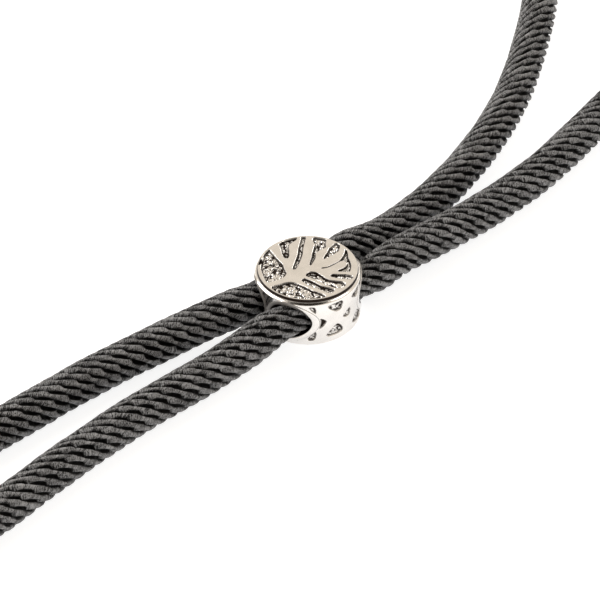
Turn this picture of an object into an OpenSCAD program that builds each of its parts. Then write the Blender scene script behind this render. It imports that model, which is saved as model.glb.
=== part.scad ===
// Sliding bead bracelet: a cord loop closed by a round two-channel slider bead.
// Units are millimetres. The origin is the middle of the bead's underside, X runs along the
// channels from the tails to the loop, and Z is up from the surface that the bracelet lies on.

/* [Bead] */
// Diameter of the bead
bead_d = 10.4; // [10.2:0.1:11]
// Height of the bead
bead_h = 5.6; // [5.4:0.1:6.2]
// Radius that rounds the bead's top and bottom edge
edge_r = 0.3; // [0.2:0.05:0.4]
// Diameter of each cord channel
channel_d = 4; // [3.98:0.01:4.1]
// Distance between the middles of the two channels
channel_gap = 4.6; // [4.6:0.02:4.7]

/* [Relief] */
// Width of the plain rim round the tree
rim_w = 0.45; // [0.35:0.05:0.6]
// Depth of the sunken ground between the branches
ground_depth = 0.3; // [0.15:0.05:0.35]
// Depth of the sunken cells on the side wall
cell_depth = 0.22; // [0.1:0.02:0.24]

/* [Cord] */
// Diameter of the cord
cord_d = 3.9; // [3.7:0.05:3.9]

/* [End caps] */
// Outer diameter of an end cap
cap_d = 4.9; // [4.7:0.1:5.2]
// Length of an end cap
cap_len = 8; // [7.5:0.5:10]
// Depth that the cord's end sits in its cap
cap_socket = 6.5; // [5:0.5:6.5]

/* [Hidden] */
eps = 0.01;
round_fn = 96;
bead_r = bead_d / 2;
cord_r = cord_d / 2;
cap_clearance = 0.08;
ring_gap = 6.5;
cap_edge_r = 0.8;
cap_bead_r = 0.35;
metal_color = [0.84, 0.82, 0.78];
cord_color = [0.23, 0.23, 0.24];

// Heights of the cord's middle line: lying on the surface, in a cap and in a channel
lie_z = cord_r;
cap_z = cap_d / 2;
bore_z = bead_h / 2;
function ramp_z(share) = lie_z + (bore_z - lie_z) * share;

// Route of the cord's middle line, x, y and height, from the front tail's end to the back one's
front_tail = [
    [-54, -7.4, cap_z],
    [-47, -6.3, cap_z],
    [-41, -5.3, lie_z],
    [-33, -4, lie_z],
    [-24, -3, lie_z],
    [-15, -2.7, lie_z],
    [-10, -2.5, ramp_z(0.4)]
];
front_channel = [
    [-6, -channel_gap / 2, bore_z],
    [6, -channel_gap / 2, bore_z]
];
loop_front = [
    [10, -1.8, bore_z],
    [15, -1.7, ramp_z(0.7)],
    [21, -1.3, ramp_z(0.1)],
    [30, -0.3, lie_z],
    [41, 2.5, lie_z],
    [57, 7.2, lie_z],
    [74, 13, lie_z],
    [89, 20.5, lie_z],
    [100, 30, lie_z],
    [105, 43, lie_z]
];
loop_back = [
    [102, 55, lie_z],
    [93, 62, lie_z],
    [81.5, 61.5, lie_z],
    [72.5, 54, lie_z],
    [67, 43.5, lie_z],
    [61.5, 33.5, lie_z],
    [54, 24.6, lie_z],
    [45, 16.7, lie_z],
    [35, 9.8, lie_z],
    [26, 5.6, lie_z],
    [18, 3.2, lie_z],
    [11, 2.2, ramp_z(0.3)]
];
back_channel = [
    [6, channel_gap / 2, bore_z],
    [-6, channel_gap / 2, bore_z]
];
back_tail = [
    [-10, 2.9, ramp_z(0.75)],
    [-15, 3.6, ramp_z(0.25)],
    [-22, 4.1, lie_z],
    [-31, 3.9, lie_z],
    [-41, 3.4, lie_z],
    [-47, 3.1, cap_z],
    [-54, 2.8, cap_z]
];
route = concat(front_tail, front_channel, loop_front, loop_back, back_channel, back_tail);

// Sunken ground between the branches of the tree on the bead's top, each an outline of x and y
gaps = [
    [[-1.1, 4.6], [-1.3, 3.3], [-1.5, 2.1], [-1.8, 1.4], [-2.1, 0.7], [-2.9, 0.4], [-3.9, 0.6],
        [-4.45, 0.9], [-4.2, 1.65], [-3.7, 2.6], [-3.2, 3.25], [-2.55, 3.7], [-2, 4.3]],
    [[0.3, 4.65], [1.2, 4.6], [2.1, 4.25], [1.8, 4], [0.85, 3.85], [0.25, 3.1], [-0.4, 2.4],
        [-0.8, 2.5], [-0.5, 3.3], [-0.05, 4.1]],
    [[-1.2, 0.85], [-0.3, 1.55], [0.5, 2.15], [1.3, 2.95], [2.1, 3.6], [2.7, 4.1], [3, 3.8],
        [2.4, 3.3], [1.6, 2.55], [0.8, 1.8], [0.1, 1.25], [-1, 0.6]],
    [[0.4, 0.15], [0.65, 0.5], [1.3, 1], [2.1, 1.7], [2.8, 2.25], [3.1, 2.9], [3.6, 3.2],
        [4.2, 2.3], [3.8, 1.8], [3.4, 1.3], [2.8, 1.3], [2.1, 1.2], [1.5, 0.65], [0.7, 0.15]],
    [[2.1, 0], [2.3, 0.25], [3, 0.6], [3.6, 0.95], [4.2, 1.15], [4.6, 1.05], [4.65, 0.7],
        [4.3, 0.3], [3.8, 0], [2.9, -0.05]],
    [[1.05, -0.9], [1.5, -1.1], [2.2, -1.17], [3, -1.15], [3.6, -0.95], [4.2, -0.55],
        [4.6, -0.2], [4.7, -0.35], [4.4, -0.9], [4, -1.4], [3.75, -2], [3.4, -2.5],
        [2.8, -3.05], [2.4, -2.75], [1.95, -2.35], [2, -2.2], [2.7, -2.25], [3.2, -2.1],
        [3.45, -1.6], [3.1, -1.3], [2.2, -1.3], [1.5, -1.23], [1, -1]],
    [[0.9, -2.35], [1.25, -2.35], [1.7, -2.8], [2.2, -3.25], [2.5, -3.75], [2.3, -4],
        [1.9, -3.85], [1.5, -3.4], [1.05, -2.85]],
    [[-0.9, -0.75], [-0.3, -0.6], [0.2, -1.15], [0.32, -1.9], [0.35, -2.55], [0.75, -3.25],
        [1.2, -3.85], [1.15, -4.35], [0.6, -4.4], [0.1, -4.1], [-0.25, -3.3], [-0.45, -2.4],
        [-0.7, -1.5]],
    [[-1.75, -1.15], [-1.3, -1.05], [-1, -1.9], [-0.72, -3], [-0.3, -3.8], [-0.15, -4.25],
        [-0.7, -4.4], [-1, -4.1], [-1.25, -3.2], [-1.6, -2.2]],
    [[-4.65, -0.05], [-3.9, -0.15], [-2.95, -0.42], [-2.45, -0.95], [-2.13, -1.85],
        [-1.9, -2.85], [-1.55, -3.75], [-1.45, -4.25], [-1.7, -4.5], [-2.7, -4.1],
        [-3.5, -3.5], [-4.2, -2.6], [-4.6, -1.5]]
];

// Sunken cells on the side wall, each an outline of angle round the bead in degrees and height
cells = [
    [[-127, 4.75], [-120.5, 4.75], [-120, 4.1]],
    [[-116, 3.3], [-107, 2.8], [-116, 2.05]],
    [[-129, 0.8], [-120, 1.65], [-120, 0.8]],
    [[-108, 4.65], [-90, 4.75], [-91, 3.9], [-99, 3.8]],
    [[-88, 2.8], [-78, 3.3], [-78, 2.5], [-86, 2.45]],
    [[-73, 1], [-63, 2], [-52, 1.3], [-54, 0.6]],
    [[-109, 0.95], [-103, 1.7], [-96, 2.1], [-89, 1.4], [-91, 0.95]],
    [[-75, 4.4], [-66, 4.8], [-57, 4.7], [-63, 3.8]]
];

function unit(v) = v / norm(v);

// Smooth curve through the route: the way at a point is the mean of the steps on both sides,
// weighted by their lengths, and a step along a channel is straight
function step(points, i) = points[i + 1] - points[i];
function is_straight(points, i) = i >= 0 && i < len(points) - 1
    && step(points, i)[1] == 0 && step(points, i)[2] == 0;
function blended(before, after) =
    let (a = norm(before), b = norm(after)) (before * b / a + after * a / b) / (a + b);
function way(points, i) =
    i == 0 || is_straight(points, i) ? unit(step(points, i))
    : i == len(points) - 1 || is_straight(points, i - 1) ? unit(step(points, i - 1))
    : blended(step(points, i - 1), step(points, i));
function curve_point(points, i, t) =
    let (run = norm(step(points, i)), u = 1 - t)
        points[i] * u * u * (1 + 2 * t) + points[i + 1] * t * t * (3 - 2 * t)
        + run * (way(points, i) * t * u * u - way(points, i + 1) * t * t * u);
function above_surface(p) = [p[0], p[1], max(p[2], lie_z)];
function parts(points, i) = ceil(norm(step(points, i)) / ring_gap);
function smooth(points) = [
    for (i = [0 : len(points) - 2])
        for (k = [0 : parts(points, i) - 1])
            above_surface(curve_point(points, i, k / parts(points, i))),
    points[len(points) - 1]
];

// Rings of a tube: the side direction is level, so the tube never twists
function heading(points, i) =
    unit(points[min(i + 1, len(points) - 1)] - points[max(i - 1, 0)]);
function ring(centre, along, radius, sides) =
    let (side = unit(cross(along, [0, 0, 1])), top = cross(side, along)) [
        for (k = [0 : sides - 1])
            let (a = 360 * k / sides) centre + radius * (cos(a) * side + sin(a) * top)
    ];
module tube(points, radius, sides) {
    n = len(points);
    verts = [for (i = [0 : n - 1]) each ring(points[i], heading(points, i), radius, sides)];
    sleeve = [
        for (i = [0 : n - 2])
            for (k = [0 : sides - 1])
                let (a = i * sides + k, b = i * sides + (k + 1) % sides) [a, b, b + sides, a + sides]
    ];
    first = [for (k = [sides - 1 : -1 : 0]) k];
    last = [for (k = [0 : sides - 1]) (n - 1) * sides + k];
    polyhedron(points = verts, faces = concat([first], sleeve, [last]), convexity = 10);
}

// Drum with rounded edges, as a half outline turned about Z
module drum() {
    rotate_extrude($fn = round_fn) union() {
        square([bead_r - edge_r, bead_h]);
        translate([0, edge_r]) square([bead_r, bead_h - 2 * edge_r]);
        for (z = [edge_r, bead_h - edge_r])
            translate([bead_r - edge_r, z]) circle(r = edge_r, $fn = 24);
    }
}

module channels() {
    for (side = [-1, 1])
        translate([-bead_r - 1, side * channel_gap / 2, bore_z]) rotate([0, 90, 0])
            cylinder(d = channel_d, h = bead_d + 2, $fn = round_fn);
}

module sunken_ground() {
    translate([0, 0, bead_h - ground_depth]) linear_extrude(ground_depth + 1)
        intersection() {
            circle(r = bead_r - rim_w, $fn = round_fn);
            union() for (outline = gaps) polygon(outline);
        }
}

// One cell, cut square to the wall at the middle of its outline
module cell(outline) {
    angles = [for (p = outline) p[0]];
    mid = (min(angles) + max(angles)) / 2;
    arc = PI * bead_r / 180;
    rotate([0, 0, mid]) translate([bead_r - cell_depth, 0, 0]) rotate([90, 0, 90])
        linear_extrude(cell_depth + 1) polygon([for (p = outline) [(p[0] - mid) * arc, p[1]]]);
}

module bead() {
    color(metal_color) difference() {
        drum();
        channels();
        sunken_ground();
        for (turn = [0, 180]) rotate([0, 0, turn]) for (outline = cells) cell(outline);
    }
}

module cord() {
    color(cord_color) tube(smooth(route), cord_r, 8);
}

// Cap on a tail that ends at tip, with next as the route's point before the end
module end_cap(tip, next) {
    way = tip - next;
    outer_r = cap_d / 2;
    color(metal_color) translate(tip) rotate([0, 0, atan2(way[1], way[0])]) rotate([0, 90, 0])
        translate([0, 0, -cap_socket - cap_clearance]) difference() {
            rotate_extrude($fn = round_fn) union() {
                square([outer_r - cap_edge_r, cap_len]);
                translate([0, cap_bead_r])
                    square([outer_r, cap_len - cap_edge_r - cap_bead_r]);
                square([outer_r - cap_bead_r, 2 * cap_bead_r]);
                translate([outer_r - cap_bead_r, cap_bead_r]) circle(r = cap_bead_r, $fn = 24);
                translate([outer_r - cap_edge_r, cap_len - cap_edge_r])
                    circle(r = cap_edge_r, $fn = 32);
            }
            translate([0, 0, -eps]) cylinder(r = cord_r + cap_clearance,
                h = cap_socket + 2 * cap_clearance, $fn = round_fn);
        }
}

module end_cap_front() {
    end_cap(route[0], route[1]);
}

module end_cap_back() {
    end_cap(route[len(route) - 1], route[len(route) - 2]);
}

bead();
cord();
end_cap_front();
end_cap_back();
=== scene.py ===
"""Looks of the sliding bead bracelet: a twill cord, a cast two-channel bead and two end caps.

Lengths are in metres, in the part's own frame: the origin is the middle of the bead's underside,
X runs along the channels from the tails to the loop, and Z is up from the surface.
"""
import math

import bmesh
import bpy
import numpy as np
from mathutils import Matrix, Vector


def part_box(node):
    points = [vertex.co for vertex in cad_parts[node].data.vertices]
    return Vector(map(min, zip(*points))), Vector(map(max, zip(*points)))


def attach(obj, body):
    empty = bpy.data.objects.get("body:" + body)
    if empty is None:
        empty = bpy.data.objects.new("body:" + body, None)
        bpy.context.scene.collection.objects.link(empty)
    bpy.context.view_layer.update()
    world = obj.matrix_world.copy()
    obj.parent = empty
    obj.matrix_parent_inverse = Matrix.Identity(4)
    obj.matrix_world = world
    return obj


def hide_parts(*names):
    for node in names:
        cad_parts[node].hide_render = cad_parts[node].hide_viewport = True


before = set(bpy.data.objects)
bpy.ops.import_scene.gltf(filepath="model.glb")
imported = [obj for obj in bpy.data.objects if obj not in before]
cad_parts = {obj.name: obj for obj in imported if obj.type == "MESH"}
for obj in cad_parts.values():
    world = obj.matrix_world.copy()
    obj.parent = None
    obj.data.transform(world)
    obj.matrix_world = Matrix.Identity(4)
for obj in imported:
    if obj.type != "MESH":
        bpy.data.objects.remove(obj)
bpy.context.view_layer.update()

MM = 0.001
TAU = 2 * math.pi

# Bead, as the frame has it
bead_low, bead_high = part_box("bead")
BEAD_R = (bead_high[0] - bead_low[0]) / 2
BEAD_H = bead_high[2] - bead_low[2]
CHANNEL_Y = 2.3 * MM
BORE_R = 2.0 * MM
EDGE_R = 0.3 * MM
RIM_W = 0.45 * MM
GROUND_DEPTH = 0.3 * MM
CELL_DEPTH = 0.22 * MM

# Cord
CORD_D = 3.9 * MM
CORD_R = CORD_D / 2
LIE_Z = CORD_R
CAP_Z = (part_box("end_cap_front")[1][2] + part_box("end_cap_front")[0][2]) / 2
BORE_Z = BEAD_H / 2


def ramp_z(share):
    """Height of the cord's middle line between lying on the surface and the channel."""
    return LIE_Z + (BORE_Z - LIE_Z) * share


# Route of the cord's middle line, from the front tail's end round the loop to the back tail's end
FRONT_TAIL = [
    (-0.054, -0.0074, CAP_Z),
    (-0.047, -0.0063, CAP_Z),
    (-0.041, -0.0053, LIE_Z),
    (-0.033, -0.004, LIE_Z),
    (-0.024, -0.003, LIE_Z),
    (-0.015, -0.0027, LIE_Z),
    (-0.01, -0.0025, ramp_z(0.4)),
]
FRONT_CHANNEL = [
    (-0.006, -CHANNEL_Y, BORE_Z),
    (0.006, -CHANNEL_Y, BORE_Z),
]
LOOP_FRONT = [
    (0.01, -0.0018, BORE_Z),
    (0.015, -0.0017, ramp_z(0.7)),
    (0.021, -0.0013, ramp_z(0.1)),
    (0.03, -0.0003, LIE_Z),
    (0.041, 0.0025, LIE_Z),
    (0.057, 0.0072, LIE_Z),
    (0.074, 0.013, LIE_Z),
    (0.089, 0.0205, LIE_Z),
    (0.1, 0.03, LIE_Z),
    (0.105, 0.043, LIE_Z),
]
LOOP_BACK = [
    (0.102, 0.055, LIE_Z),
    (0.093, 0.062, LIE_Z),
    (0.0815, 0.0615, LIE_Z),
    (0.0725, 0.054, LIE_Z),
    (0.067, 0.0435, LIE_Z),
    (0.0615, 0.0335, LIE_Z),
    (0.054, 0.0246, LIE_Z),
    (0.045, 0.0167, LIE_Z),
    (0.035, 0.0098, LIE_Z),
    (0.026, 0.0056, LIE_Z),
    (0.018, 0.0032, LIE_Z),
    (0.011, 0.0022, ramp_z(0.3)),
]
BACK_CHANNEL = [
    (0.006, CHANNEL_Y, BORE_Z),
    (-0.006, CHANNEL_Y, BORE_Z),
]
BACK_TAIL = [
    (-0.01, 0.0029, ramp_z(0.75)),
    (-0.015, 0.0036, ramp_z(0.25)),
    (-0.022, 0.0041, LIE_Z),
    (-0.031, 0.0039, LIE_Z),
    (-0.041, 0.0034, LIE_Z),
    (-0.047, 0.0031, CAP_Z),
    (-0.054, 0.0028, CAP_Z),
]
ROUTE = FRONT_TAIL + FRONT_CHANNEL + LOOP_FRONT + LOOP_BACK + BACK_CHANNEL + BACK_TAIL

# Twill of the cord: ridges that wind round it like a right-hand thread
RIDGES = 10
LEAD = 13.3 * MM
CREST_R = CORD_R + 0.02 * MM
RIDGE_DROP = 0.27 * MM
RIDGE_ROUND = 0.97
# Columns of vertices across a ridge, as shares of its width from one slit's middle to the next one's
COLUMNS = np.array([0.05, 0.1, 0.2, 0.36, 0.64, 0.8, 0.9, 0.95])
# Each ridge is a row of floats that lean off its line, and step back over the last share of each float
FLOAT_ROWS = 10
ROW_SLANT = 0.155
ROW_JITTER = 0.11
FLOAT_LEAN = 0.23
STEP_SHARE = 0.06
FLOAT_SWELL = 0.05 * MM
FLOAT_RISE = 0.03 * MM
# Slit between two ridges: its columns' place, and its half width as a share of the ridge's
SLIT_FOOT = 0.1
SLIT_FLOOR = 1.55
SLIT_THIN = 0.07
SLIT_WIDE = 0.205
SLIT_JITTER = 0.35
SLIT_MEAN = 0.7
SLIT_DEPTH = 0.62 * MM
SLIT_SHALLOW = 0.45
# Thin ribs across a ridge
RIB_GAP = 0.18 * MM
# Where the bead squeezes the cord, by the distance from the bead's middle
NECK_R = CORD_R - 0.3 * MM
NECK_START = 7.5 * MM
NECK_END = 4.4 * MM
# Lowest point of the cord, just clear of the surface
CORD_FLOOR = 0.02 * MM
# Random values for each float of each ridge, and their seeds
FLOAT_TABLE = 512
TONE_SEED = 5
SLIT_SEED = 6
ROW_SEED = 9
# Spacing of the cord's rings
TAIL_RING_GAP = 0.08 * MM
LOOP_RING_GAP = 0.107 * MM

# Gaps between the branches of the tree on the bead's top, in millimetres, each a closed outline
GAPS = [
    [(-1.1, 4.6), (-1.3, 3.3), (-1.5, 2.1), (-1.8, 1.4), (-2.1, 0.7), (-2.9, 0.4), (-3.9, 0.6),
     (-4.45, 0.9), (-4.2, 1.65), (-3.7, 2.6), (-3.2, 3.25), (-2.55, 3.7), (-2, 4.3)],
    [(0.3, 4.65), (1.2, 4.6), (2.1, 4.25), (1.8, 4), (0.85, 3.85), (0.25, 3.1), (-0.4, 2.4),
     (-0.8, 2.5), (-0.5, 3.3), (-0.05, 4.1)],
    [(-1.2, 0.85), (-0.3, 1.55), (0.5, 2.15), (1.3, 2.95), (2.1, 3.6), (2.7, 4.1), (3, 3.8),
     (2.4, 3.3), (1.6, 2.55), (0.8, 1.8), (0.1, 1.25), (-1, 0.6)],
    [(0.4, 0.15), (0.65, 0.5), (1.3, 1), (2.1, 1.7), (2.8, 2.25), (3.1, 2.9), (3.6, 3.2),
     (4.2, 2.3), (3.8, 1.8), (3.4, 1.3), (2.8, 1.3), (2.1, 1.2), (1.5, 0.65), (0.7, 0.15)],
    [(2.1, 0), (2.3, 0.25), (3, 0.6), (3.6, 0.95), (4.2, 1.15), (4.6, 1.05), (4.65, 0.7),
     (4.3, 0.3), (3.8, 0), (2.9, -0.05)],
    [(1.05, -0.9), (1.5, -1.1), (2.2, -1.17), (3, -1.15), (3.6, -0.95), (4.2, -0.55), (4.6, -0.2),
     (4.7, -0.35), (4.4, -0.9), (4, -1.4), (3.75, -2), (3.4, -2.5), (2.8, -3.05), (2.4, -2.75),
     (1.95, -2.35), (2, -2.2), (2.7, -2.25), (3.2, -2.1), (3.45, -1.6), (3.1, -1.3), (2.2, -1.3),
     (1.5, -1.23), (1, -1)],
    [(0.9, -2.35), (1.25, -2.35), (1.7, -2.8), (2.2, -3.25), (2.5, -3.75), (2.3, -4),
     (1.9, -3.85), (1.5, -3.4), (1.05, -2.85)],
    [(-0.9, -0.75), (-0.3, -0.6), (0.2, -1.15), (0.32, -1.9), (0.35, -2.55), (0.75, -3.25),
     (1.2, -3.85), (1.15, -4.35), (0.6, -4.4), (0.1, -4.1), (-0.25, -3.3), (-0.45, -2.4), (-0.7, -1.5)],
    [(-1.75, -1.15), (-1.3, -1.05), (-1, -1.9), (-0.72, -3), (-0.3, -3.8), (-0.15, -4.25),
     (-0.7, -4.4), (-1, -4.1), (-1.25, -3.2), (-1.6, -2.2)],
    [(-4.65, -0.05), (-3.9, -0.15), (-2.95, -0.42), (-2.45, -0.95), (-2.13, -1.85), (-1.9, -2.85),
     (-1.55, -3.75), (-1.45, -4.25), (-1.7, -4.5), (-2.7, -4.1), (-3.5, -3.5), (-4.2, -2.6), (-4.6, -1.5)],
]
# Small casting pit in the rim
RIM_PIT = [(-3.4, 3.4), (-3.2, 3.9), (-2.7, 4.1), (-2.55, 3.9), (-2.75, 3.6), (-3, 3.4)]
# Sunken cells on the side wall, each an outline of angle round the bead and height in millimetres
CELLS = [
    [(-129, 4.75), (-122.5, 4.75), (-121.5, 4.05)],
    [(-118.5, 3.3), (-109, 2.8), (-118.5, 2.05)],
    [(-130.5, 0.8), (-121.5, 1.7), (-122, 0.8)],
    [(-108, 4.65), (-90, 4.75), (-91, 3.9), (-99, 3.8)],
    [(-88, 2.8), (-78, 3.3), (-78, 2.5), (-86, 2.45)],
    [(-73, 1), (-63, 2), (-52, 1.3), (-54, 0.6)],
    [(-109, 0.95), (-103, 1.7), (-96, 2.1), (-89, 1.4), (-91, 0.95)],
    [(-75, 4.4), (-66, 4.8), (-57, 4.7), (-63, 3.8)],
]


# Small helpers

# Cell corners along each side of the table of random values, which then repeats
NOISE_SIDE = 256
# A distance in millimetres beyond any on the bead
FAR = 1e3


def smoothstep(low, high, value):
    t = np.clip((value - low) / (high - low), 0, 1)
    return t * t * (3 - 2 * t)


def band(rise, fall, value):
    """1 between two ranges, over which it rises from 0 and falls back to 0."""
    return smoothstep(*rise, value) * (1 - smoothstep(*fall, value))


def unit_rows(rows):
    return rows / np.linalg.norm(rows, axis=-1, keepdims=True)


def value_noise(points, cell, seed):
    """Smooth random values from 0 to 1 at points in the plane, with one value per cell corner."""
    table = np.random.default_rng(seed).random((NOISE_SIDE, NOISE_SIDE))
    place = points / cell
    base = np.floor(place).astype(int)
    t = place - base
    t = t * t * (3 - 2 * t)
    i, j = base[..., 0] % NOISE_SIDE, base[..., 1] % NOISE_SIDE
    i2, j2 = (i + 1) % NOISE_SIDE, (j + 1) % NOISE_SIDE
    near = table[i, j] * (1 - t[..., 0]) + table[i2, j] * t[..., 0]
    far = table[i, j2] * (1 - t[..., 0]) + table[i2, j2] * t[..., 0]
    return near * (1 - t[..., 1]) + far * t[..., 1]


def add_mesh(name, verts, faces_by_size, material, attributes=None):
    """A mesh object from arrays: faces_by_size holds one array of corner indices per face size."""
    mesh = bpy.data.meshes.new(name)
    groups = [np.asarray(g, np.int32) for g in faces_by_size if len(g)]
    corners = np.concatenate([g.ravel() for g in groups])
    sizes = np.concatenate([np.full(len(g), g.shape[1]) for g in groups])
    starts = np.concatenate([[0], np.cumsum(sizes)[:-1]])
    mesh.vertices.add(len(verts))
    mesh.vertices.foreach_set("co", np.asarray(verts, np.float32).ravel())
    mesh.loops.add(len(corners))
    mesh.loops.foreach_set("vertex_index", corners)
    mesh.polygons.add(len(sizes))
    mesh.polygons.foreach_set("loop_start", starts.astype(np.int32))
    mesh.update(calc_edges=True)
    for key, values in (attributes or {}).items():
        layer = mesh.attributes.new(key, "FLOAT", "POINT")
        layer.data.foreach_set("value", np.asarray(values, np.float32).ravel())
    mesh.shade_smooth()
    mesh.materials.append(material)
    piece = bpy.data.objects.new(name, mesh)
    bpy.context.scene.collection.objects.link(piece)
    return piece


# Node helpers

class Nodes:
    """Adds nodes to one material and links them as they are named."""

    def __init__(self, name):
        self.material = bpy.data.materials.new(name)
        self.material.use_nodes = True
        self.tree = self.material.node_tree
        self.shader = self.tree.nodes["Principled BSDF"]

    def add(self, kind, **inputs):
        node = self.tree.nodes.new(kind)
        for key, value in inputs.items():
            self.put(node.inputs[key.replace("_", " ")], value)
        return node

    def put(self, socket, value):
        if isinstance(value, bpy.types.NodeSocket):
            self.tree.links.new(value, socket)
        else:
            socket.default_value = value

    def math(self, operation, *values):
        node = self.tree.nodes.new("ShaderNodeMath")
        node.operation = operation
        for socket, value in zip(node.inputs, values):
            self.put(socket, value)
        return node.outputs[0]

    def weighted(self, *terms):
        """Sum of values, each times its weight."""
        total = 0.0
        for value, weight in terms:
            total = self.math("MULTIPLY_ADD", value, weight, total)
        return total

    def mix(self, factor, low, high):
        node = self.tree.nodes.new("ShaderNodeMix")
        node.data_type = "RGBA"
        self.put(node.inputs["Factor"], factor)
        self.put(node.inputs[6], low)
        self.put(node.inputs[7], high)
        return node.outputs[2]

    def remap(self, value, low, high, new_low=0.0, new_high=1.0):
        """Value moved smoothly from one range to another, and held beyond its ends."""
        node = self.tree.nodes.new("ShaderNodeMapRange")
        node.interpolation_type = "SMOOTHSTEP"
        for socket, item in zip(node.inputs, (value, low, high, new_low, new_high)):
            self.put(socket, item)
        return node.outputs[0]

    def attribute(self, name):
        node = self.tree.nodes.new("ShaderNodeAttribute")
        node.attribute_name = name
        return node.outputs["Fac"]

    def noise(self, scale, detail=2.0, roughness=0.5):
        place = self.tree.nodes.new("ShaderNodeTexCoord")
        node = self.add("ShaderNodeTexNoise", Scale=scale, Detail=detail, Roughness=roughness)
        self.tree.links.new(place.outputs["Object"], node.inputs["Vector"])
        return node.outputs["Fac"]

    def noise_at(self, x, y, z, scale, detail=2.0, roughness=0.5):
        place = self.add("ShaderNodeCombineXYZ", X=x, Y=y, Z=z)
        node = self.add("ShaderNodeTexNoise", Scale=scale, Detail=detail, Roughness=roughness)
        self.tree.links.new(place.outputs[0], node.inputs["Vector"])
        return node.outputs["Fac"]

    def bump(self, height, strength, distance):
        node = self.add("ShaderNodeBump", Strength=strength, Distance=distance, Height=height)
        self.tree.links.new(node.outputs["Normal"], self.shader.inputs["Normal"])

    def set(self, **inputs):
        for key, value in inputs.items():
            self.put(self.shader.inputs[key.replace("_", " ")], value)


# Camera, at the photograph's angle

CAMERA_AZIMUTH = math.radians(-40)
CAMERA_ELEVATION = math.radians(40)
CAMERA_DISTANCE = 0.37
# Width of the view at the target, from the photograph's width and its pixels for a millimetre
PHOTO_WIDTH = 600
PHOTO_SCALE = 10.18
VIEW_WIDTH = PHOTO_WIDTH / PHOTO_SCALE * MM
# Where the camera aims, from the origin
VIEW_RIGHT = -0.756 * MM
VIEW_UP = 1.13 * MM
SENSOR_WIDTH = 36
CLIP_START = 0.01
CLIP_END = 20


def make_camera():
    back = Vector((
        math.sin(CAMERA_AZIMUTH) * math.cos(CAMERA_ELEVATION),
        -math.cos(CAMERA_AZIMUTH) * math.cos(CAMERA_ELEVATION),
        math.sin(CAMERA_ELEVATION),
    ))
    right = Vector((math.cos(CAMERA_AZIMUTH), math.sin(CAMERA_AZIMUTH), 0))
    target = right * VIEW_RIGHT + back.cross(right) * VIEW_UP
    data = bpy.data.cameras.new("camera")
    data.sensor_width = SENSOR_WIDTH
    data.lens = SENSOR_WIDTH * CAMERA_DISTANCE / VIEW_WIDTH
    data.clip_start = CLIP_START
    data.clip_end = CLIP_END
    camera = bpy.data.objects.new("camera", data)
    camera.location = target + back * CAMERA_DISTANCE
    camera.rotation_mode = "QUATERNION"
    camera.rotation_quaternion = (-back).to_track_quat("-Z", "Y")
    bpy.context.scene.collection.objects.link(camera)
    bpy.context.scene.camera = camera


# Cord

# Points of the curve for each step of the route
CURVE_STEPS = 40
# Half the run over which the cord's direction is taken
HEADING_REACH = 0.4 * MM
# Rise or sideways run below which a step of the route is straight along X
STRAIGHT = 1e-9


def way_at(points, i):
    """Direction of the curve at a route point, as the mean of the steps on both sides."""
    def is_straight(k):
        step = points[k + 1] - points[k]
        return abs(step[1]) < STRAIGHT and abs(step[2]) < STRAIGHT

    if i == 0 or (i < len(points) - 1 and is_straight(i)):
        return unit_rows(points[i + 1] - points[i])
    if i == len(points) - 1 or is_straight(i - 1):
        return unit_rows(points[i] - points[i - 1])
    before, after = points[i] - points[i - 1], points[i + 1] - points[i]
    a, b = np.linalg.norm(before), np.linalg.norm(after)
    return (before * b / a + after * a / b) / (a + b)


class CordLine:
    """The cord's middle line, by length from the front tail's end."""

    def __init__(self, route):
        points = np.array(route)
        ways = [way_at(points, i) for i in range(len(points))]
        t = (np.arange(CURVE_STEPS) / CURVE_STEPS)[:, None]
        u = 1 - t
        rows = []
        for i in range(len(points) - 1):
            run = np.linalg.norm(points[i + 1] - points[i])
            rows.append(
                points[i] * u * u * (1 + 2 * t) + points[i + 1] * t * t * (3 - 2 * t)
                + run * (ways[i] * t * u * u - ways[i + 1] * t * t * u)
            )
        self.points = np.vstack(rows + [points[-1:]])
        self.points[:, 2] = np.maximum(self.points[:, 2], LIE_Z)
        steps = np.linalg.norm(np.diff(self.points, axis=0), axis=1)
        self.lengths = np.concatenate([[0], np.cumsum(steps)])
        self.total = self.lengths[-1]

    def length_at(self, route_index):
        return self.lengths[route_index * CURVE_STEPS]

    def at(self, s):
        return np.stack([np.interp(s, self.lengths, self.points[:, k]) for k in range(3)], axis=-1)

    def frames(self, s):
        """Places, and the level side and top directions across the cord."""
        ahead = self.at(np.minimum(s + HEADING_REACH, self.total))
        behind = self.at(np.maximum(s - HEADING_REACH, 0))
        along = unit_rows(ahead - behind)
        side = unit_rows(np.cross(along, [0, 0, 1]))
        return self.at(s), side, np.cross(side, along)


def float_table(seed, ridge, passed):
    """Random value from 0 to 1 for each float."""
    table = np.random.default_rng(seed).random((RIDGES, FLOAT_TABLE))
    return table[ridge, np.floor(passed).astype(int) % FLOAT_TABLE]


def floats_passed(ridge, angle, s):
    """Number of floats passed along a ridge, whose whole part counts and whose rest is the share."""
    drop = angle * CORD_R + ROW_SLANT * s
    late = np.random.default_rng(ROW_SEED).uniform(-ROW_JITTER, ROW_JITTER, RIDGES)
    return late[ridge] - drop * FLOAT_ROWS / (TAU * CORD_R)


def neck_radius(place_x):
    """Radius at the ridges' crests: less where the bead squeezes the cord."""
    return NECK_R + (CREST_R - NECK_R) * smoothstep(NECK_END, NECK_START, np.abs(place_x))


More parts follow.
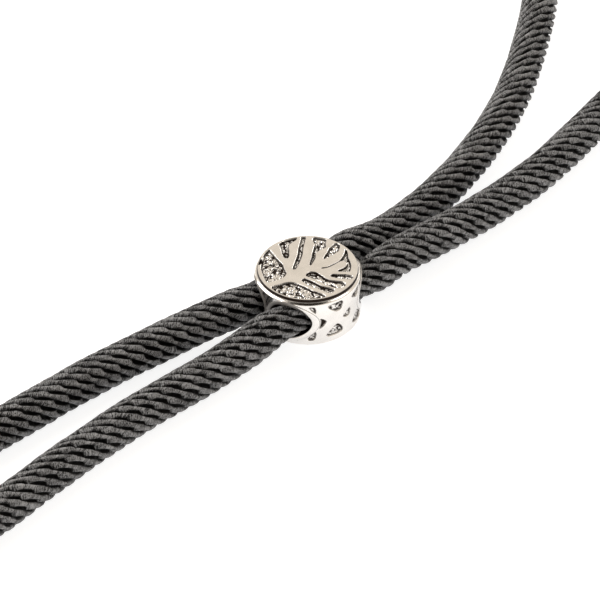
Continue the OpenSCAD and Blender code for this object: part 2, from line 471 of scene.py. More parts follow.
def twill(p, s, place_x):
    """Angle and radius of the cord's surface, how deep it lies in a slit, and its float's tone.

    p counts the ridges round the cord, s is the length along it, and place_x is where the ring
    lies along the bead's channels.
    """
    angle = TAU * (p / RIDGES - s / LEAD)
    ridge = np.floor(p).astype(int) % RIDGES
    passed = floats_passed(ridge, angle, s)
    share = passed - np.floor(passed)
    rising = share / (1 - STEP_SHARE) - 0.5
    falling = 0.5 - smoothstep(0, 1, (share - 1 + STEP_SHARE) / STEP_SHARE)
    lean = np.where(share < 1 - STEP_SHARE, rising, falling)

    # The slit beside a ridge starts thin, widens along the float and closes at the step
    width = 1 + SLIT_JITTER * (float_table(SLIT_SEED, ridge, passed) - SLIT_MEAN)
    opening = width * band((0, 0.5), (1 - STEP_SHARE, 1), share)
    column = p - np.floor(p)
    fold = np.minimum(column, 1 - column)
    foot = SLIT_THIN + (SLIT_WIDE - SLIT_THIN) * opening
    moved = np.where(
        fold < SLIT_FOOT,
        fold * foot / SLIT_FOOT * SLIT_FLOOR,
        foot + (fold - SLIT_FOOT) * (0.5 - foot) / (0.5 - SLIT_FOOT),
    )
    x = np.where(column < 0.5, moved, 1 - moved)
    angle = angle + TAU * (x - column + FLOAT_LEAN * lean) / RIDGES

    # A ridge is round across its width, and the slit's floor is flat
    down = np.clip((0.5 - fold) / (0.5 - SLIT_FOOT), 0, 1)
    ridge_drop = RIDGE_DROP * (1 - np.sqrt(1 - (RIDGE_ROUND * down) ** 2))
    slit_drop = SLIT_DEPTH * (SLIT_SHALLOW + (1 - SLIT_SHALLOW) * opening)
    in_slit = fold < COLUMNS[:2].mean()
    drop = np.where(in_slit, slit_drop, ridge_drop)
    swell = FLOAT_SWELL * (np.sin(math.pi * share) - 1)
    tone = float_table(TONE_SEED, ridge, passed)
    radius = neck_radius(place_x) - drop + swell + FLOAT_RISE * (tone - 0.5)
    return angle, radius, np.clip(drop / SLIT_DEPTH, 0, 1), tone


def cord_piece(name, line, start, end, ring_gap, material):
    """A stretch of the cord as a grid of rings, closed at both ends."""
    rings = int(round((end - start) / ring_gap)) + 1
    s = np.linspace(start, end, rings)
    p = (np.arange(RIDGES)[:, None] + COLUMNS[None, :]).ravel()
    around = len(p)
    grid_p = np.broadcast_to(p, (rings, around))
    grid_s = np.broadcast_to(s[:, None], (rings, around))
    centre, side, top = line.frames(s)
    angle, radius, groove, tone = twill(grid_p, grid_s, centre[:, :1])
    verts = (
        centre[:, None, :]
        + (radius * np.cos(angle))[..., None] * side[:, None, :]
        + (radius * np.sin(angle))[..., None] * top[:, None, :]
    )
    verts[..., 2] = np.maximum(verts[..., 2], CORD_FLOOR)
    column = grid_p - np.floor(grid_p)
    slant = math.atan2(TAU * CORD_R, LEAD)
    along = grid_s / math.cos(slant) - (column - 0.5) * TAU * CORD_R / RIDGES * math.sin(slant)

    i, k = np.meshgrid(np.arange(rings - 1), np.arange(around), indexing="ij")
    a, b = i * around + k, i * around + (k + 1) % around
    sleeve = np.stack([a, b, b + around, a + around], axis=-1).reshape(-1, 4)
    ring = np.arange(around)
    first_middle, last_middle = rings * around, rings * around + 1
    last = (rings - 1) * around
    closing = np.concatenate([
        np.stack([(ring + 1) % around, ring, np.full(around, first_middle)], axis=-1),
        np.stack([last + ring, last + (ring + 1) % around, np.full(around, last_middle)], axis=-1),
    ])
    all_verts = np.concatenate([verts.reshape(-1, 3), centre[:1], centre[-1:]])
    ends = [0.0, 0.0]
    across = np.abs(column - 0.5)
    piece = add_mesh(name, all_verts, [sleeve, closing], material, {
        "groove": np.concatenate([groove.ravel(), [1.0, 1.0]]),
        "tone": np.concatenate([tone.ravel(), ends]),
        "along": np.concatenate([along.ravel() / RIB_GAP, ends]),
        "across": np.concatenate([across.ravel(), ends]),
    })
    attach(piece, "root")
    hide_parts("cord")
    return piece


# Colours of the thread and of the near-black painted shade in its slits, and the weights of what lightens
# the thread or, down a ridge's side, darkens it as painted shade
THREAD_DARK = (0.008, 0.0078, 0.008, 1)
THREAD_PALE = (0.37, 0.371, 0.38, 1)
SLIT_SHADE = (0.0012, 0.0012, 0.0013, 1)
SHEEN_TINT = (0.75, 0.74, 0.74, 1)
WAVE_WEIGHT = 0.4
STREAK_WEIGHT = 0.5
FIBRE_WEIGHT = 0.4
TONE_WEIGHT = 0.2
PATCH_WEIGHT = 0.4
SIDE_SHADE_WEIGHT = -0.25
# Range of the noise textures that is stretched to the full one
NOISE_LOW = 0.36
NOISE_HIGH = 0.64
# Scales of the fibres and patches, per metre, and of the streaks, per rib
FIBRE_SCALE = 6500
PATCH_SCALE = 700
STREAK_SCALE = 0.9
# Ranges of depth in a slit over which the painted shade on a ridge's side and the slit's near-black
# painted shade begin
SIDE_SHADE_RANGE = (0.02, 0.4)
SLIT_SHADE_RANGE = (0.38, 0.5)
# Range of the summed weights from the dark to the pale thread
LEVEL_RANGE = (0.45, 1.4)
THREAD_ROUGHNESS = (0.5, 0.68)
# Run between two floats' patterns in the streaks' own space
TONE_SPREAD = 40.0
THREAD_BUMP = 0.08 * MM


def cord_material():
    """Dull dark grey wound thread: pale ribbed crests, with painted shade down their sides, over slits
    painted near-black as shade.
    """
    n = Nodes("cord_twill")
    groove, tone = n.attribute("groove"), n.attribute("tone")
    along, across = n.attribute("along"), n.attribute("across")
    wave = n.math("MULTIPLY_ADD", n.math("SINE", n.math("MULTIPLY", along, TAU)), 0.5, 0.5)
    spread = n.math("MULTIPLY", tone, TONE_SPREAD)
    streak = n.noise_at(along, across, spread, STREAK_SCALE, detail=2.0, roughness=0.6)
    streak = n.remap(streak, NOISE_LOW, NOISE_HIGH)
    fibre = n.noise(FIBRE_SCALE, detail=3.0, roughness=0.65)
    fibre = n.remap(fibre, NOISE_LOW, NOISE_HIGH)
    patch = n.noise(PATCH_SCALE)
    # Painted shade: the thread darkens down a ridge's side as it drops into the slit
    side = n.remap(groove, *SIDE_SHADE_RANGE)
    relief = n.weighted((wave, WAVE_WEIGHT), (streak, STREAK_WEIGHT), (fibre, FIBRE_WEIGHT))
    level = n.weighted((relief, 1.0), (tone, TONE_WEIGHT), (patch, PATCH_WEIGHT), (side, SIDE_SHADE_WEIGHT))
    thread = n.mix(n.remap(level, *LEVEL_RANGE), THREAD_DARK, THREAD_PALE)
    # The slits' near-black is painted shade, set by depth in the slit
    n.set(
        Base_Color=n.mix(n.remap(groove, *SLIT_SHADE_RANGE), thread, SLIT_SHADE),
        Roughness=n.remap(fibre, 0.2, 0.8, *THREAD_ROUGHNESS),
        Specular_IOR_Level=0.2,
        Sheen_Weight=0.03,
        Sheen_Roughness=0.5,
        Sheen_Tint=SHEEN_TINT,
    )
    n.bump(relief, strength=1.0, distance=THREAD_BUMP)
    return n.material


def make_cord():
    line = CordLine(ROUTE)
    material = cord_material()
    front_split = (line.length_at(len(FRONT_TAIL)) + line.length_at(len(FRONT_TAIL) + 1)) / 2
    back_index = len(ROUTE) - len(BACK_TAIL) - len(BACK_CHANNEL)
    back_split = (line.length_at(back_index) + line.length_at(back_index + 1)) / 2
    middle = (front_split + back_split) / 2
    front = cord_piece("cord_tail_front", line, 0, front_split, TAIL_RING_GAP, material)
    back = cord_piece("cord_tail_back", line, back_split, line.total, TAIL_RING_GAP, material)
    cord_piece("cord_loop_front", line, front_split, middle, LOOP_RING_GAP, material)
    cord_piece("cord_loop_back", line, middle, back_split, LOOP_RING_GAP, material)


# Bead

# Turned grid: columns round the axis, and rows across the top, down the wall and across the bottom
TURN_COLUMNS = 420
TOP_ROWS = 112
WALL_ROWS = 60
BASE_ROWS = 8
# Degrees of turn at the rows of the rounded bottom edge
BASE_EDGE_TURNS = [22, 45, 68, 90]
# Step round the top plate and the sloping shoulder under it, as radius and height in millimetres
PLATE_EDGE = [
    (4.87, 5.597), (4.895, 5.59), (4.91, 5.572), (4.916, 5.54), (4.91, 5.44),
    (4.905, 5.33), (4.918, 5.29), (4.955, 5.272), (5.005, 5.25), (5.05, 5.222),
    (5.095, 5.185), (5.138, 5.14), (5.17, 5.09), (5.192, 5.04),
]
# Patina and painted shade on the first rows of the step
PLATE_PATINA_AND_SHADE = [0.3, 0.8, 1.0, 1.0, 1.0, 1.0, 1.0, 0.7, 0.1]
PLATE_R = 4.84 * MM
SHOULDER_Z = 5.0 * MM

# Grain of the hammered ground: sizes and shifts in millimetres, the coarse grain's share, and seeds
COARSE_GRAIN = 0.26
FINE_GRAIN = 0.13
COARSE_SHIFT = 90
FINE_SHIFT = 60
WALL_SHIFT = 30
COARSE_SHARE = 0.6
TOP_GRAIN_SEED = 1
WALL_GRAIN_SEED = 4
# Waver of the branches' edges: run, size and shift in millimetres, and seed
WAVER_RUN = 0.06
WAVER_SIZE = 0.5
WAVER_SHIFT = 40
WAVER_SEED = 3
# Ranges in millimetres inwards from the edge of a gap in the tree
GAP_SLOPE = (-0.01, 0.07)
GAP_GRAIN_START = (0.05, 0.25)
# Band of patina and painted shade down a gap's walls, as it rises and falls
GAP_DARK_START = (-0.01, 0.01)
GAP_DARK_END = (0.07, 0.12)
PIT_DARK = (-0.03, 0.03)
# Ranges of the top's grain that stand up and that are stained, and how deep the ground is under it
TOP_ROUGH = (0.35, 0.65)
TOP_SPECKS = (0.48, 0.4)
GROUND_SHARE = 0.85
ROUGH_SHARE = 0.45
# Rounding of the branches: rise, and its range in millimetres from a gap and from the rim
DOME_RISE = 0.006 * MM
DOME_RANGE = (0.0, 0.4)
RIM_RANGE = (0.0, 0.3)
# Ranges in millimetres inwards from the edge of a cell, and the most patina and painted shade on its slope
CELL_SLOPE = (-0.02, 0.07)
CELL_DARK_START = (0, 0.03)
CELL_DARK_END = (0.05, 0.1)
CELL_DARK = 0.9
# Ranges of the wall's grain that stand up and that are stained, and how much it fills a cell
WALL_ROUGH = (0.4, 0.7)
WALL_SPECKS = (0.53, 0.42)
CELL_ROUGH_SHARE = 0.35
# Shade in a cell, along its top and right-hand edges: width and soft border in millimetres
CELL_SHADE = 0.18
SHADE_BORDER = (-0.04, 0.04)
# The one cell that is dark all over, and its border in millimetres
DARK_CELL = 1
DARK_CELL_BORDER = (0.02, -0.04)

# Mouths of the channels and the outer edge of their lips, which is less towards the other mouth
MOUTH_R = 1.89 * MM
LIP_R = 2.33 * MM
LIP_WEB_R = 2.27 * MM
LIP_WEB_TURN = (0.3, 0.95)
LIP_RISE = 0.1 * MM
# Cross-section of a lip, from its outer edge to the bore: extra radius in millimetres, share of
# the way out from the bore, and share of the full rise
LIP_STEPS = [
    (0, 1, 0.5), (-0.01, 1, 0.85), (-0.035, 1, 1), (0, 0.6, 0.7),
    (0.07, 0, 0), (0.02, 0, -0.5), (0, 0, -1.2), (0, 0, -3),
]
# Steps from the outer edge that are bare metal, before the bore, which is painted dark as shade
LIP_BARE_STEPS = 5
# How far each of the bore's first rings lies behind the one before, in millimetres
BORE_STEPS = [0.3, 0.6]
# Darkening along the lip's outer line, and the most painted shade on the lip's bare steps, where they face
# the dark cord
LIP_LINE_DARK = 0.8
LIP_SHADE = 0.7
LIP_SHADE_TURN = (-0.45, 0.35)
LIP_SHADE_TILT = 0.35
# Smooth wall round a lip, before the cells reach their full depth
LIP_CLEAR = (0.02 * MM, 0.12 * MM)
# Room in millimetres round an outline within which distances to it are worked out
OUTLINE_ROOM = 0.6


def smooth_outline(points, steps=5):
    """A closed smooth curve through an outline's points."""
    points = np.array(points, float)
    before, after, later = np.roll(points, 1, 0), np.roll(points, -1, 0), np.roll(points, -2, 0)
    rows = []
    for t in np.arange(steps) / steps:
        rows.append(
            0.5 * (2 * points + (after - before) * t
                   + (2 * before - 5 * points + 4 * after - later) * t * t
                   + (3 * points - before - 3 * after + later) * t ** 3)
        )
    return np.stack(rows, axis=1).reshape(-1, 2).tolist()


def polygon_distance(x, y, outline):
    """Distance to a closed outline's edge, negative inside it."""
    best = np.full(x.shape, FAR)
    inside = np.zeros(x.shape, bool)
    for (ax, ay), (bx, by) in zip(outline, outline[1:] + outline[:1]):
        dx, dy = bx - ax, by - ay
        share = np.clip(((x - ax) * dx + (y - ay) * dy) / (dx * dx + dy * dy), 0, 1)
        best = np.minimum(best, np.hypot(x - ax - share * dx, y - ay - share * dy))
        crosses = (ay > y) != (by > y)
        run = np.where(crosses, (y - ay) / np.where(dy == 0, 1, dy), 0)
        inside ^= crosses & (x < ax + run * dx)
    return np.where(inside, -best, best)


def nearest_outline(x, y, outlines):
    """Distance in millimetres to the nearest of several smooth outlines, negative inside one."""
    best = np.full(x.shape, FAR)
    for outline in outlines:
        curve = smooth_outline(outline)
        lows = np.min(curve, axis=0) - OUTLINE_ROOM
        highs = np.max(curve, axis=0) + OUTLINE_ROOM
        near = (x > lows[0]) & (x < highs[0]) & (y > lows[1]) & (y < highs[1])
        best[near] = np.minimum(best[near], polygon_distance(x[near], y[near], curve))
    return best


def stipple(places, seed):
    """Grain of the hammered ground, from 0 in a speck to 1."""
    coarse = value_noise(places + COARSE_SHIFT, COARSE_GRAIN, seed)
    fine = value_noise(places + FINE_SHIFT, FINE_GRAIN, seed + 1)
    return COARSE_SHARE * coarse + (1 - COARSE_SHARE) * fine


def top_relief(x, y):
    """Drop below the bead's top, patina with painted shade down the gaps' walls, and share of ground, from
    the tree and the stippled ground.
    """
    px, py = x / MM, y / MM
    places = np.stack([px, py], axis=-1)
    waver = WAVER_RUN * (value_noise(places + WAVER_SHIFT, WAVER_SIZE, WAVER_SEED) - 0.5)
    rim = (BEAD_R - RIM_W) / MM - np.hypot(px, py)
    gap = np.minimum(waver - nearest_outline(px, py, GAPS), rim)
    pit = -nearest_outline(px, py, [RIM_PIT])
    inside = np.maximum(gap, pit)
    ground = smoothstep(*GAP_SLOPE, inside)
    grain = stipple(places, TOP_GRAIN_SEED)
    rough = smoothstep(*TOP_ROUGH, grain) * smoothstep(*GAP_GRAIN_START, inside)
    drop = GROUND_DEPTH * ground * (GROUND_SHARE - ROUGH_SHARE * rough)
    dome = DOME_RISE * smoothstep(*DOME_RANGE, -inside) * smoothstep(*RIM_RANGE, rim)
    # Patina and painted shade down the gaps' walls
    wall = band(GAP_DARK_START, GAP_DARK_END, inside)
    specks = smoothstep(*TOP_SPECKS, grain) * ground
    stain_and_shade = np.maximum(np.maximum(wall, specks), smoothstep(*PIT_DARK, pit))
    return drop - dome, stain_and_shade, ground


def wall_relief(angle, z):
    """Inward drop of the bead's wall, patina with painted shade, and share of ground, from the sunken
    cells.
    """
    arc = math.pi * BEAD_R / MM / 180
    height = z / MM
    cells = [[(a * arc, h) for a, h in outline] for outline in CELLS]
    inside = np.full(angle.shape, -FAR)
    beyond = np.full(angle.shape, FAR)
    shaded = np.zeros(angle.shape)
    for turn in (0, 180):
        place = ((np.degrees(angle) - turn + 180) % 360 - 180) * arc
        inside = np.maximum(inside, -nearest_outline(place, height, cells))
        beyond = np.minimum(beyond, nearest_outline(place + CELL_SHADE, height + CELL_SHADE, cells))
        dark_cell = nearest_outline(place, height, [cells[DARK_CELL]])
        shaded = np.maximum(shaded, smoothstep(*DARK_CELL_BORDER, dark_cell))
    shaded = np.maximum(shaded, smoothstep(*SHADE_BORDER, beyond))
    grain = stipple(np.stack([angle * BEAD_R / MM + WALL_SHIFT, height], axis=-1), WALL_GRAIN_SEED)
    ground = smoothstep(*CELL_SLOPE, inside)
    # Patina and painted shade down a cell's slope
    wall = CELL_DARK * band(CELL_DARK_START, CELL_DARK_END, inside)
    # Stained specks, with the painted shade along a cell's top and right-hand edges and the cell that is
    # dark all over
    specks = np.maximum(smoothstep(*WALL_SPECKS, grain), shaded) * ground
    drop = CELL_DEPTH * ground * (1 - CELL_ROUGH_SHARE * smoothstep(*WALL_ROUGH, grain))
    return drop, np.maximum(wall, specks), ground


def lip_radius(turn):
    """Outer radius of a mouth's lip: less on the side of the web between the two mouths."""
    return LIP_R - (LIP_R - LIP_WEB_R) * smoothstep(*LIP_WEB_TURN, np.cos(turn))


def mouth_field(y, z):
    """Which channel is nearest, the turn round it from the web, and the room outside its lip."""
    channel = np.where(y < 0, -1, 1)
    dy, dz = CHANNEL_Y - np.abs(y), z - BORE_Z
    turn = np.arctan2(dz, dy)
    return channel, turn, np.hypot(dy, dz) - lip_radius(turn)


def lip_point(channel, turn, radius, x):
    """Place at a turn and radius about a channel."""
    y = channel * (CHANNEL_Y - radius * np.cos(turn))
    return np.stack(np.broadcast_arrays(x, y, BORE_Z + radius * np.sin(turn)), axis=-1)


def wall_x(turn, radius):
    """How far along X the wall is, at a turn and radius about a channel."""
    y = CHANNEL_Y - radius * np.cos(turn)
    return np.sqrt(np.maximum(BEAD_R ** 2 - y ** 2, 0))


def bead_rows():
    """The bead's outline as rows of radius, height and kind, from the top's middle to the bottom's."""
    rows = [(r, BEAD_H, "top") for r in np.linspace(0, PLATE_R, TOP_ROWS)[1:]]
    rows += [(r * MM, z * MM, "edge") for r, z in PLATE_EDGE]
    rows += [(BEAD_R, z, "wall") for z in np.linspace(SHOULDER_Z, EDGE_R, WALL_ROWS)]
    flat_r = BEAD_R - EDGE_R
    for a in np.radians(BASE_EDGE_TURNS):
        rows.append((flat_r + EDGE_R * math.cos(a), EDGE_R - EDGE_R * math.sin(a), "base"))
    rows += [(r, 0.0, "base") for r in np.linspace(flat_r, 0, BASE_ROWS)[1:-1]]
    return rows


def bead_grid():
    """Vertices, patina and painted shade, ground and the mouths' field on the bead's turned grid."""
    rows = bead_rows()
    angle = np.arange(TURN_COLUMNS) * TAU / TURN_COLUMNS
    radius = np.array([r for r, _, _ in rows])[:, None] + 0 * angle
    z = np.array([h for _, h, _ in rows])[:, None] + 0 * angle
    kind = np.array([k for _, _, k in rows])
    angle = np.broadcast_to(angle, radius.shape)
    x, y = radius * np.cos(angle), radius * np.sin(angle)
    patina_and_shade = np.zeros(radius.shape)
    ground = np.zeros(radius.shape)
    field = np.ones(radius.shape)
    top, wall, edge = kind == "top", kind == "wall", kind == "edge"
    drop, patina_and_shade[top], ground[top] = top_relief(x[top], y[top])
    z[top] -= drop
    patina_and_shade[np.flatnonzero(edge)[:len(PLATE_PATINA_AND_SHADE)]] = np.array(PLATE_PATINA_AND_SHADE)[:, None]
    side = wall | edge
    _, _, field[side] = mouth_field(y[side], z[side])
    inward, dark, low = wall_relief(angle[wall], z[wall])
    clear = smoothstep(*LIP_CLEAR, field[wall])
    x[wall] -= inward * clear * np.cos(angle[wall])
    y[wall] -= inward * clear * np.sin(angle[wall])
    patina_and_shade[wall] = dark * clear
    ground[wall] = low * clear
    return np.stack([x, y, z], axis=-1), patina_and_shade, ground, field


class Skin:
    """The bead's vertices, with patina and painted shade and share of ground, and its faces by number of
    corners.
    """

    def __init__(self, grid, patina_and_shade, sunk):
        self.verts = [tuple(v) for v in grid.reshape(-1, 3)]
        self.dark = list(patina_and_shade.ravel())
        self.ground = list(sunk.ravel())
        self.faces = {3: [], 4: [], 5: []}

    def add_vert(self, place, dark):
        self.verts.append(tuple(place))
        self.dark.append(dark)
        self.ground.append(0.0)
        return len(self.verts) - 1

    def add_strip(self, one, two):
        """Squares between two closed rows of vertices."""
        for m in range(len(one)):
            m2 = (m + 1) % len(one)
            self.faces[4].append([one[m], one[m2], two[m2], two[m]])

    def add_middle(self, row, n_cols, z):
        """Triangles from a row of the turned grid to a vertex on the axis."""
        first = row * n_cols
        middle = self.add_vert((0.0, 0.0, z), self.dark[first])
        for col in range(n_cols):
            self.faces[3].append([first + col, first + (col + 1) % n_cols, middle])

    def make_piece(self, name, material):
        """A mesh object of the vertices that faces use, with all faces turned outwards."""
        used = np.zeros(len(self.verts), bool)
        for group in self.faces.values():
            for face in group:
                used[face] = True
        index = np.cumsum(used) - 1
        piece = add_mesh(
            name, np.array(self.verts)[used], [index[np.array(g)] for g in self.faces.values() if g],
            material, {"patina_and_shade": np.array(self.dark)[used], "sunk": np.array(self.ground)[used]},
        )
        work = bmesh.new()
        work.from_mesh(piece.data)
        bmesh.ops.recalc_face_normals(work, faces=work.faces)
        work.to_mesh(piece.data)
        work.free()
        return piece


def cover_grid(skin, field):
    """Faces of the turned grid, cut at the exact lip lines, and the vertices on each mouth's line."""
    n_cols = field.shape[1]
    keep = field > 0
    i, k = np.meshgrid(np.arange(len(field) - 1), np.arange(n_cols), indexing="ij")
    k2 = (k + 1) % n_cols
    count = keep[i, k].astype(int) + keep[i, k2] + keep[i + 1, k] + keep[i + 1, k2]
    a, b = i * n_cols + k, i * n_cols + k2
    skin.faces[4] += np.stack([a, a + n_cols, b + n_cols, b], axis=-1)[count == 4].tolist()
    crossings = {}
    mouths = {}

    def crossing(u, v):
        """The vertex where a lip line passes between two grid vertices."""
        key = (min(u, v), max(u, v))
        if key not in crossings:
            share = field.flat[u] / (field.flat[u] - field.flat[v])
            near = np.array(skin.verts[u]) * (1 - share) + np.array(skin.verts[v]) * share
            channel, turn, _ = mouth_field(near[1], near[2])
            end = 1 if near[0] > 0 else -1
            radius = lip_radius(turn)
            place = lip_point(channel, turn, radius, end * wall_x(turn, radius))
            crossings[key] = skin.add_vert(place, LIP_LINE_DARK)
            mouths.setdefault((int(channel), end), []).append((float(turn), crossings[key]))
        return crossings[key]

    for row, col in np.argwhere((count > 0) & (count < 4)):
        upper, lower = row * n_cols, (row + 1) * n_cols
        right = (col + 1) % n_cols
        loop = [upper + col, lower + col, lower + right, upper + right]
        cut = []
        for u, v in zip(loop, loop[1:] + loop[:1]):
            if keep.flat[u]:
                cut.append(u)
            if keep.flat[u] != keep.flat[v]:
                cut.append(crossing(u, v))
        if len(cut) >= 3:
            skin.faces[len(cut)].append(cut)
    return mouths


def mouth_rings(turns):
    """Rings from a lip's outer edge into the bore, as radius, distance along X and painted shade."""
    outer = lip_radius(turns)
    facing = np.cos(turns) + LIP_SHADE_TILT * np.sin(turns)
    shade = LIP_SHADE * smoothstep(*LIP_SHADE_TURN, facing)
    # Full painted shade on the lip's inner steps and down the bore
    black = np.ones(len(turns))
    rings = []
    for step, (room, share, rise) in enumerate(LIP_STEPS):
        radius = MOUTH_R + room * MM + (outer - MOUTH_R) * share
        x = wall_x(turns, radius) + rise * LIP_RISE
        rings.append((radius, x, shade if step < LIP_BARE_STEPS else black))
    for back in BORE_STEPS:
        x = rings[-1][1] - back * MM
        rings.append((np.full(len(turns), BORE_R), x, black))
    return rings


def line_channel(skin, channel, near, far):
    """Raised lips at a channel's two mouths, and the bore between them."""
    assert len(near) == len(far), "the two mouths of a channel have the same number of points"
    turns = np.array([turn for turn, _ in near])
    rings = mouth_rings(turns)
    ends = [(-1, ring) for ring in rings] + [(1, ring) for ring in reversed(rings)]
    layers = [[vert for _, vert in near]]
    # Painted shade for the lips and the bore
    for end, (radius, x, tarnish_and_shade) in ends:
        places = lip_point(channel, turns, radius, end * x)
        layers.append([skin.add_vert(place, dark) for place, dark in zip(places, tarnish_and_shade)])
    layers.append([vert for _, vert in far])
    for one, two in zip(layers, layers[1:]):
        skin.add_strip(one, two)


def make_bead():
    grid, patina_and_shade, sunk, field = bead_grid()
    n_rows, n_cols = field.shape
    skin = Skin(grid, patina_and_shade, sunk)
    mouths = cover_grid(skin, field)
    for channel in (-1, 1):
        line_channel(skin, channel, sorted(mouths[(channel, -1)]), sorted(mouths[(channel, 1)]))
    skin.add_middle(0, n_cols, grid[0, :, 2].mean())
    skin.add_middle(n_rows - 1, n_cols, 0.0)
    piece = skin.make_piece("bead_cast", bead_material())
    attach(piece, "root")
    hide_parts("bead")


# Tones between which each metal and the stain vary; the stain also colours the painted shade
BEAD_SILVER = [(0.76, 0.735, 0.71, 1), (0.83, 0.805, 0.78, 1)]
CAP_SILVER = [(0.8, 0.77, 0.72, 1), (0.88, 0.85, 0.8, 1)]
STAIN_AND_SHADE_TONES = [(0.004, 0.0015, 0.0006, 1), (0.022, 0.011, 0.005, 1)]
# Middle range of a noise texture, over which the metals change from one tone to the other
TONE_LOW = 0.3
TONE_HIGH = 0.7
# Scales of the metals' noise, per metre
SATIN_SCALE = 6000
SHADE_SCALE = 700
SPECK_SCALE = 9000
CAP_SATIN_SCALE = 5000
CAP_SHADE_SCALE = 500
# Range of the finest noise that is stained in the ground
SPECK_RANGE = (0.48, 0.38)
# Range of patina and painted shade over which the metal gives way to the stain, and how metallic each of
# them is
TARNISH_AND_SHADE_RANGE = (0.2, 0.9)
TARNISH_AND_SHADE_METALLIC = (1.0, 0.1)
BEAD_ROUGHNESS = (0.16, 0.24)
CAP_ROUGHNESS = (0.12, 0.2)
TARNISH_AND_SHADE_ROUGHNESS = 0.35
METAL_BUMP = 0.01 * MM


def bead_material():
    """Warm silver, satin on the branches, with brown-black patina in the sunken ground, and the same stain
    laid on as painted shade down the hollows' walls, on the plate's step, the lips and in the bores.
    """
    n = Nodes("bead_silver")
    patina_and_shade, sunk = n.attribute("patina_and_shade"), n.attribute("sunk")
    fine = n.noise(SATIN_SCALE, detail=3.0)
    soft = n.noise(SHADE_SCALE, detail=3.0)
    grain = n.noise(SPECK_SCALE, roughness=0.6)
    silver = n.mix(n.remap(soft, TONE_LOW, TONE_HIGH), *BEAD_SILVER)
    specks = n.math("MULTIPLY", n.remap(grain, *SPECK_RANGE), sunk)
    # Patina and stained specks, with the painted shade they carry
    tarnish_and_shade = n.math("MAXIMUM", patina_and_shade, specks)
    satin = n.remap(fine, TONE_LOW, TONE_HIGH, *BEAD_ROUGHNESS)
    n.set(
        Base_Color=n.mix(tarnish_and_shade, silver, n.mix(fine, *STAIN_AND_SHADE_TONES)),
        Metallic=n.remap(tarnish_and_shade, *TARNISH_AND_SHADE_RANGE, *TARNISH_AND_SHADE_METALLIC),
        Roughness=n.math("MULTIPLY_ADD", tarnish_and_shade, TARNISH_AND_SHADE_ROUGHNESS, satin),
        Specular_IOR_Level=0.15,
    )
    n.bump(fine, strength=0.12, distance=METAL_BUMP)
    return n.material


# End caps

def cap_material():
    """Plain polished silver."""
    n = Nodes("cap_silver")
    fine = n.noise(CAP_SATIN_SCALE)
    soft = n.noise(CAP_SHADE_SCALE, detail=3.0)
    n.set(
        Base_Color=n.mix(n.remap(soft, TONE_LOW, TONE_HIGH), *CAP_SILVER),
        Metallic=1.0,
        Roughness=n.remap(fine, TONE_LOW, TONE_HIGH, *CAP_ROUGHNESS),
    )
    n.bump(fine, strength=0.1, distance=METAL_BUMP)
    return n.material


def finish_caps():
    material = cap_material()
    for name in ("end_cap_front", "end_cap_back"):
        cap = bpy.data.objects[name]
        cap.data.materials.clear()
        cap.data.materials.append(material)


# Studio

FLOOR_HALF = 3.0
FLOOR_COLOUR = (0.5, 0.5, 0.5, 1)
FLOOR_GLOW = 0.8
TENT_COLOUR = (0.88, 0.8, 0.69, 1)
# Dark opening in the tent: its middle's height and half sizes in degrees, and its soft border,
# as shares of the half sizes
OPENING_COLOUR = (0.012, 0.009, 0.006, 1)
OPENING_TILT = 50
OPENING_HALF_WIDTH = 34
OPENING_HALF_LENGTH = 42
OPENING_OUTER = 1.15
OPENING_INNER = 0.85
# Level directions towards the camera and to its right
FRONT = Vector((math.sin(CAMERA_AZIMUTH), -math.cos(CAMERA_AZIMUTH), 0))
SIDE = Vector((math.cos(CAMERA_AZIMUTH), math.sin(CAMERA_AZIMUTH), 0))
# Soft boxes: name, direction to the front, to the side and up, width in metres and power in watts
LIGHT_DISTANCE = 0.9
SOFT_BOXES = [
    ("left_box", (-0.05, -0.85, 0.5), 0.8, 7.0),
    ("right_box", (0.1, 0.7, 0.7), 0.4, 1.4),
    ("back_box", (-0.7, 0.45, 0.5), 0.3, 1.0),
]


def make_floor():
    """White paper that glows, so that it stays white."""
    n = Nodes("floor_paper")
    n.set(
        Base_Color=FLOOR_COLOUR,
        Roughness=0.9,
        Specular_IOR_Level=0.1,
        Emission_Color=(1, 1, 1, 1),
        Emission_Strength=FLOOR_GLOW,
    )
    corners = [
        (-FLOOR_HALF, -FLOOR_HALF, 0), (FLOOR_HALF, -FLOOR_HALF, 0),
        (FLOOR_HALF, FLOOR_HALF, 0), (-FLOOR_HALF, FLOOR_HALF, 0),
    ]
    floor = add_mesh("floor", np.array(corners), [np.array([[0, 1, 2, 3]])], n.material)


def make_light(name, direction, size, power):
    """A soft box that looks at the origin from a direction in the camera's own level frame."""
    data = bpy.data.lights.new(name, "AREA")
    data.shape = "SQUARE"
    data.size = size
    data.energy = power
    lamp = bpy.data.objects.new(name, data)
    ahead, side, up = direction
    lamp.location = (FRONT * ahead + SIDE * side + Vector((0, 0, up))).normalized() * LIGHT_DISTANCE
    lamp.rotation_mode = "QUATERNION"
    lamp.rotation_quaternion = (-lamp.location).to_track_quat("-Z", "Y")
    bpy.context.scene.collection.objects.link(lamp)


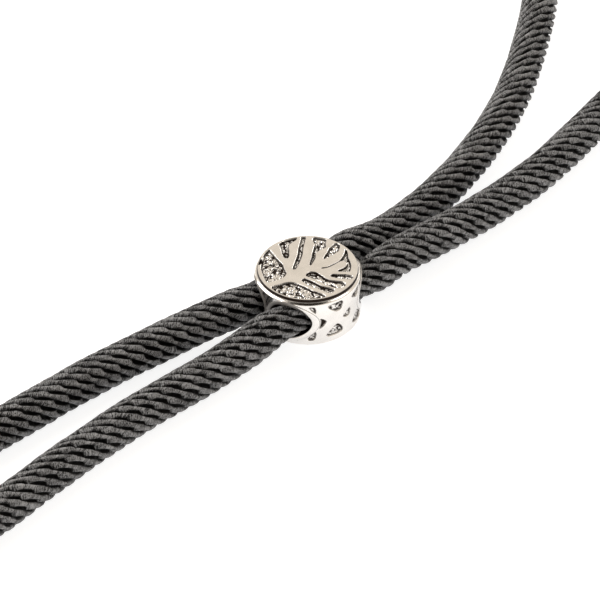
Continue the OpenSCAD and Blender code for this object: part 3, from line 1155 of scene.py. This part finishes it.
def make_world():
    """A warm pale tent all round, with a dark opening from overhead down towards the front."""
    world = bpy.data.worlds.new("tent")
    world.use_nodes = True
    bpy.context.scene.world = world
    tree = world.node_tree
    place = tree.nodes.new("ShaderNodeTexCoord")

    def link(value, socket):
        if isinstance(value, bpy.types.NodeSocket):
            tree.links.new(value, socket)
        else:
            socket.default_value = value

    def dot(direction):
        node = tree.nodes.new("ShaderNodeVectorMath")
        node.operation = "DOT_PRODUCT"
        link(place.outputs["Generated"], node.inputs[0])
        node.inputs[1].default_value = direction
        return node.outputs["Value"]

    def calculate(operation, *values):
        node = tree.nodes.new("ShaderNodeMath")
        node.operation = operation
        for socket, value in zip(node.inputs, values):
            link(value, socket)
        return node.outputs[0]

    tilt = math.radians(OPENING_TILT)
    middle = FRONT * math.cos(tilt) + Vector((0, 0, math.sin(tilt)))
    climb = FRONT * -math.sin(tilt) + Vector((0, 0, math.cos(tilt)))
    wide = calculate("DIVIDE", dot(SIDE), math.sin(math.radians(OPENING_HALF_WIDTH)))
    long = calculate("DIVIDE", dot(climb), math.sin(math.radians(OPENING_HALF_LENGTH)))
    squares = [calculate("MULTIPLY", part, part) for part in (wide, long)]
    away = calculate("SQRT", calculate("ADD", *squares))
    ramp = tree.nodes.new("ShaderNodeMapRange")
    ramp.interpolation_type = "SMOOTHSTEP"
    for socket, value in zip(ramp.inputs, (away, OPENING_OUTER, OPENING_INNER, 0.0, 1.0)):
        link(value, socket)
    inside = calculate("MULTIPLY", ramp.outputs[0], calculate("GREATER_THAN", dot(middle), 0.0))
    mix = tree.nodes.new("ShaderNodeMix")
    mix.data_type = "RGBA"
    mix.inputs[6].default_value = TENT_COLOUR
    mix.inputs[7].default_value = OPENING_COLOUR
    link(inside, mix.inputs["Factor"])
    link(mix.outputs[2], tree.nodes["Background"].inputs["Color"])


def make_studio():
    make_floor()
    make_world()
    for box in SOFT_BOXES:
        make_light(*box)
    bpy.context.scene.view_settings.view_transform = "Standard"


make_camera()
make_cord()
make_bead()
finish_caps()
make_studio()
